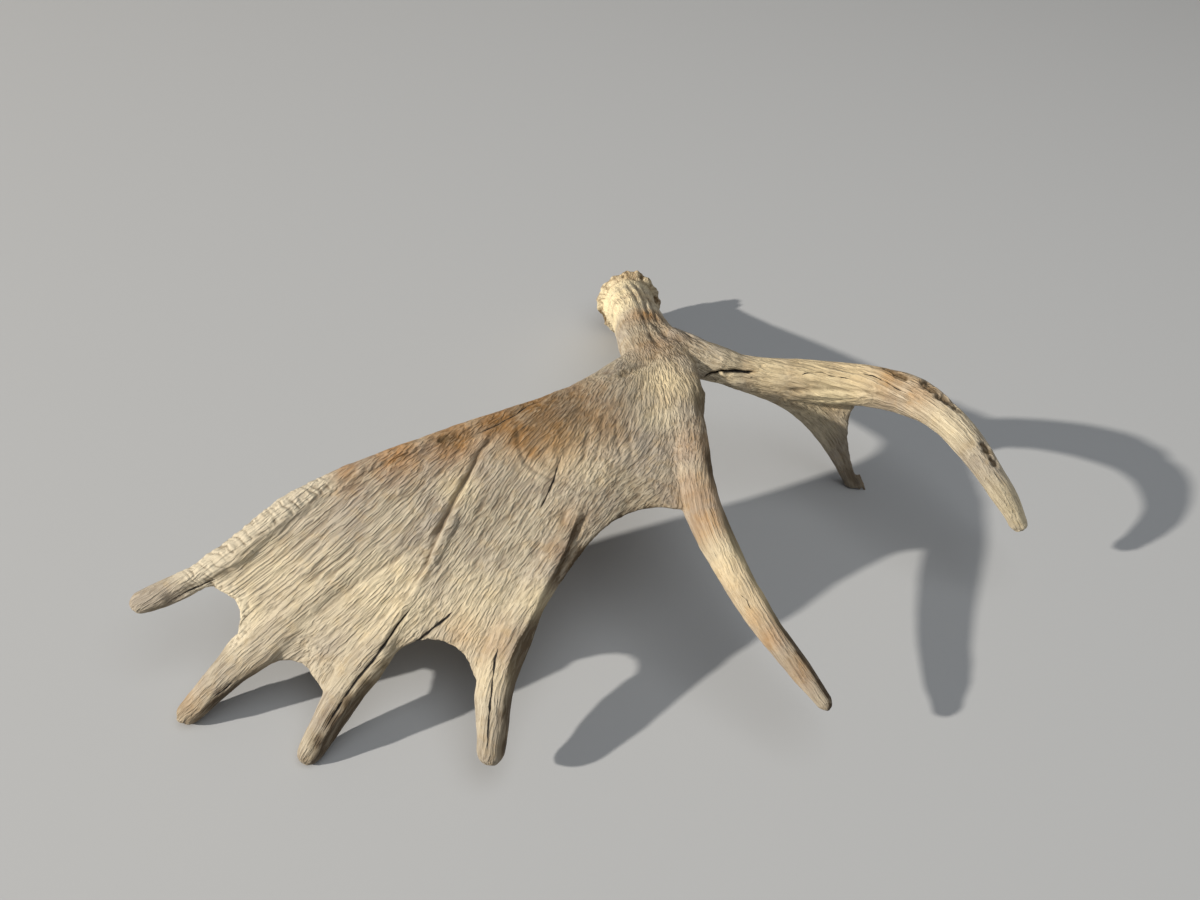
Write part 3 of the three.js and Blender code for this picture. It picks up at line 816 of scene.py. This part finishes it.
# %% Thin the mesh
MOST_TRIANGLES = 196000
thin = antler.modifiers.new("thin", "DECIMATE")
thin.ratio = MOST_TRIANGLES / (len(mesh.loops) - 2 * len(mesh.polygons))
evaluated = antler.evaluated_get(bpy.context.evaluated_depsgraph_get())
mesh = bpy.data.meshes.new_from_object(evaluated)
antler.modifiers.clear()
antler.data = mesh
mesh.shade_smooth()
print("triangles:", len(mesh.loops) - 2 * len(mesh.polygons), [a.name for a in mesh.attributes])

# %% [markdown]
# ## The bone
# Shader maths reads best as plain expressions, so a small class wraps a socket and gives it
# Python's operators. Everything else in a node tree is made by one method that takes the node's
# type, its settings, and what goes into its sockets.


# %% A socket with operators
class Value:
    """A socket that can be added, subtracted, multiplied and divided."""

    def __init__(self, tree, socket):
        self.tree = tree
        self.socket = socket

    def made(self, operation, *others):
        settings = {"operation": operation}
        return self.tree.node("ShaderNodeMath", settings, dict(enumerate((self, *others))))

    def __add__(self, other):
        return self.made("ADD", other)

    def __sub__(self, other):
        return self.made("SUBTRACT", other)

    def __rsub__(self, other):
        return self.tree.node("ShaderNodeMath", {"operation": "SUBTRACT"}, {0: other, 1: self})

    def __mul__(self, other):
        return self.made("MULTIPLY", other)

    def __truediv__(self, other):
        return self.made("DIVIDE", other)

    def __abs__(self):
        return self.made("ABSOLUTE")

    def clipped(self):
        return self.tree.node("ShaderNodeClamp", {}, {0: self})

    __radd__ = __add__
    __rmul__ = __mul__


class Tree:
    """A material's node tree, whose methods make nodes and hand back their sockets."""

    def __init__(self, material):
        self.nodes = material.node_tree.nodes
        self.links = material.node_tree.links

    def node(self, kind, settings, inputs, output=0):
        made = self.nodes.new(kind)
        for name, value in settings.items():
            setattr(made, name, value)
        for key, value in inputs.items():
            if isinstance(value, Value):
                self.links.new(value.socket, made.inputs[key])
            else:
                made.inputs[key].default_value = value
        return Value(self, made.outputs[output])

    def attribute(self, name):
        return self.node("ShaderNodeAttribute", {"attribute_name": name}, {}, "Vector")

    def parts(self, vector):
        split = self.nodes.new("ShaderNodeSeparateXYZ")
        self.links.new(vector.socket, split.inputs[0])
        return [Value(self, output) for output in split.outputs]

    def noise(self, vector, size, detail, roughness=0.5):
        inputs = {"Vector": vector, "Scale": 1 / size, "Detail": detail, "Roughness": roughness}
        return self.node("ShaderNodeTexNoise", {}, inputs)

    def step(self, value, start, end):
        """0 up to start, 1 from end on, and smooth between."""
        settings = {"interpolation_type": "SMOOTHSTEP"}
        inputs = {"Value": value, "From Min": start, "From Max": end}
        return self.node("ShaderNodeMapRange", settings, inputs)

    def mix(self, share, below, above):
        inputs = {"Factor": share, 6: below, 7: above}
        return self.node("ShaderNodeMix", {"data_type": "RGBA"}, inputs, 2)


def srgb(red, green, blue):
    """A colour given as on a colour card, from 0 to 255, as the linear light that the nodes use."""
    parts = [value / 255 for value in (red, green, blue)]
    return (*[part / 12.92 if part <= 0.04045 else ((part + 0.055) / 1.055) ** 2.4 for part in parts], 1)


print("mid grey in linear light:", round(srgb(128, 128, 128)[0], 3))

# %% [markdown]
# Bone's colour comes in layers, from the widest to the finest: a grey-tan ground that turns cream
# in soft patches, streaks along the fibres, stains and painted shade, bleached spots and painted
# highlights, pale fresh bone where teeth went through the skin, painted shade in the furrows and
# painted highlights on the ridges, then darker hollows and black in the cracks.

# %% The bone material
bone = bpy.data.materials.new("weathered bone")
bone.use_nodes = True
tree = Tree(bone)
shader = tree.nodes["Principled BSDF"]

place = tree.node("ShaderNodeTexCoord", {}, {}, "Object")
grain_place = tree.attribute("grain")
orange_spot, brown_and_shade_spot, bleach_and_highlight_spot = tree.parts(tree.attribute("stain_shade_and_highlight"))
crack_gap, crack_width, darker_hollow = tree.parts(tree.attribute("crack"))
gnaw, bite_darkness, crevices = tree.parts(tree.attribute("wear"))
wrinkle, depth, tooth_mark = tree.parts(tree.attribute("wrinkle"))
PLACE_SHARE = (0.02, 0.02, 0.02)
settings = {"operation": "MULTIPLY_ADD"}
fibre_place = tree.node("ShaderNodeVectorMath", settings, {0: place, 1: PLACE_SHARE, 2: grain_place})
print("the bone reads", [node.attribute_name for node in tree.nodes if node.type == "ATTRIBUTE"])

# %% Noises of the bone, from wide to fine
patches = tree.noise(place, 48 * MM, detail=3)
uneven = tree.noise(place, 15 * MM, detail=4, roughness=0.65)
fibre_wide = tree.noise(grain_place, 8 * MM, detail=3, roughness=0.6)
fibre = tree.noise(fibre_place, 3.6 * MM, detail=3, roughness=0.6)
fibre_fine = tree.noise(fibre_place, 1.8 * MM, detail=2, roughness=0.6)
speckle = tree.noise(place, 2.6 * MM, detail=3, roughness=0.7)
small_wrinkle = tree.step(tree.noise(fibre_place, 2.1 * MM, detail=1, roughness=0.5), 0.35, 0.65)
furrow = tree.step(wrinkle, -0.02, -0.4) * depth
small_furrow = tree.step(small_wrinkle, 0.45, 0.0) * (0.35 + depth) * (1 - gnaw)
print("noises:", len([node for node in tree.nodes if node.type == "TEX_NOISE"]))

# %% Colours of the bone
GREY_TAN = srgb(167, 156, 141)
CREAM = srgb(190, 178, 155)
PALE = srgb(252, 233, 188)
CHALK = srgb(210, 198, 174)
TAN = srgb(186, 158, 112)
UMBER = srgb(96, 78, 56)
ORANGE = srgb(164, 110, 38)
BROWN = srgb(80, 58, 22)
DARK_BROWN = srgb(58, 44, 30)
CREVICE = srgb(104, 72, 38)
BLACK = srgb(22, 17, 13)

print("the ground's colour:", [round(part, 3) for part in GREY_TAN[:3]])

# %% Layers of colour, from the ground up
ragged_gap = abs(crack_gap) + (speckle - 0.5) * 0.9
crack = tree.step(ragged_gap / (crack_width + 0.001), 1.0, 0.35) * tree.step(crack_width, 0.08, 0.3)
layers = [
    # what it is, its colour, and how much of it covers what is below, from 0 to 1
    ("soft patches", CREAM, tree.step(patches, 0.38, 0.64)),
    ("wide streaks", CREAM, tree.step(fibre_wide, 0.46, 0.7) * 0.45),
    ("blotches", TAN, tree.step(uneven, 0.5, 0.68) * 0.3),
    ("orange stains", ORANGE, (orange_spot * (uneven * 1.4 + 0.45)).clipped() * 0.85),
    # brown stains, and painted shade on the points' shaded flanks, in the fork's throat and by the burr
    ("brown stains and painted shade", BROWN, (brown_and_shade_spot * (fibre_wide * 1.2 + 0.2)).clipped() * 0.82),
    # mostly painted shade: the darkest brown where the shaded flanks, the fork's throat and the burr's
    # underside are
    ("darkest stains and painted shade", DARK_BROWN, tree.step(brown_and_shade_spot, 0.8, 1.4) * (0.4 + 0.6 * fibre_wide)),
    # bleached bone, and painted highlight where the key light falls on the beam and the brow
    ("bleached spots and painted highlights", PALE, (bleach_and_highlight_spot * (0.6 + 0.6 * uneven)).clipped() * 0.9),
    ("dark fibres", UMBER, tree.step(fibre, 0.46, 0.28) * (0.1 + 0.24 * depth)),
    ("fine dark fibres", UMBER, tree.step(fibre_fine, 0.5, 0.3) * 0.28),
    # chalky streaks along the fibres, partly painted highlight
    ("chalky fibres and painted highlights", CHALK, tree.step(fibre, 0.54, 0.7) * 0.22),
    ("gnawed bone", CHALK, gnaw * 0.7),
    ("tooth marks", UMBER, tree.step(tooth_mark, -0.2, -0.6) * 0.5),
    # painted shade: umber in the valleys of the wrinkles
    ("furrows", UMBER, (furrow * 0.55 + small_furrow * 0.3).clipped()),
    # painted highlight on the crests of the small wrinkles
    ("painted highlights on the ridges", CHALK, tree.step(small_wrinkle, 0.6, 1.0) * 0.1),
    # a faint bleached bloom, with painted highlight on the same lit places
    ("bleached bloom and painted highlights", PALE, bleach_and_highlight_spot.clipped() * 0.25),
    ("specks", UMBER, tree.step(speckle, 0.42, 0.28) * 0.3),
    # darker where the skin lies below its surroundings
    ("darker_hollow", UMBER, (darker_hollow * 1.1).clipped() * 0.6),
    ("crevices", CREVICE, (crevices * (0.5 + speckle)).clipped() * 0.8),
    ("bites", BROWN, (bite_darkness * (0.1 + 1.3 * speckle)).clipped() * 0.9),
    ("cracks", BLACK, crack),
]
colour = GREY_TAN
for _, paint, share in layers:
    colour = tree.mix(share, colour, paint)
print("over the grey-tan ground:", ", ".join(layer[0] for layer in layers))

# %% Relief too fine for the mesh, in mm
relief = small_wrinkle * (depth * 1.4 + 0.25) + fibre_fine * 1.0 + speckle * 0.4 + tooth_mark * 0.7
relief = relief + wrinkle * depth * 0.5 - crack * 0.9
bump = tree.node("ShaderNodeBump", {}, {"Strength": 1.0, "Distance": MM, "Height": relief})
roughness = 0.62 + 0.3 * fibre
tree.links.new(colour.socket, shader.inputs["Base Color"])
tree.links.new(roughness.socket, shader.inputs["Roughness"])
tree.links.new(bump.socket, shader.inputs["Normal"])
OLD_BONE_GLOSS = 0.35
shader.inputs["Specular IOR Level"].default_value = OLD_BONE_GLOSS
mesh.materials.clear()
mesh.materials.append(bone)
print("bone uses", len(bone.node_tree.nodes), "nodes")

# %% [markdown]
# The floor only catches the shadows. One plain matt grey does, pale enough to set them off and
# dull enough not to mirror the antler.

# %% Floor material
FLOOR_GREY = srgb(176, 177, 178)
FLOOR_ROUGHNESS = 0.8
matt = bpy.data.materials.new("pale floor")
matt.use_nodes = True
matt_shader = matt.node_tree.nodes["Principled BSDF"]
matt_shader.inputs["Base Color"].default_value = FLOOR_GREY
matt_shader.inputs["Roughness"].default_value = FLOOR_ROUGHNESS
floor_mesh.materials.append(matt)
print("floor grey:", round(FLOOR_GREY[0], 3))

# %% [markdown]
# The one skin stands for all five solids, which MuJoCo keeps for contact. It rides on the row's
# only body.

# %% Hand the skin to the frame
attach(antler, "root")
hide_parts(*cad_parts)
